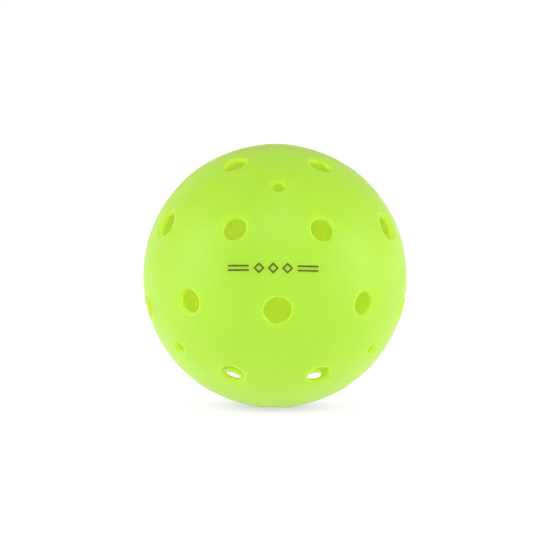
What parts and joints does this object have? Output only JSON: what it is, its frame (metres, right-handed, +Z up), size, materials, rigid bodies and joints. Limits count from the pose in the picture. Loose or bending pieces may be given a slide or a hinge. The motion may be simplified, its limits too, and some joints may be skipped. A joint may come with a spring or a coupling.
{
  "type": "pickleball ball",
  "caption": "Hollow perforated plastic ball for pickleball, two welded half shells with round through holes in three sizes.",
  "frame": {"origin": "centre of the ball", "axes": "+Z up from the floor that the ball lies on, -Y towards the half with the printed mark, +X to the right seen from there; the hole pattern mirrors left to right in the plane x = 0"},
  "size_m": [0.074, 0.074, 0.074],
  "materials": {
    "shell_plastic": "satin moulded polyethylene, translucent neon yellow-green",
    "weld_plastic": "smooth melt skin of the same polyethylene",
    "print_ink": "thin dark pad-printed ink on the front half"
  },
  "bodies": {
    "root": {"front_half_shell": "shell_plastic", "rear_half_shell": "shell_plastic", "weld_bead": "weld_plastic"}
  },
  "joints": []
}
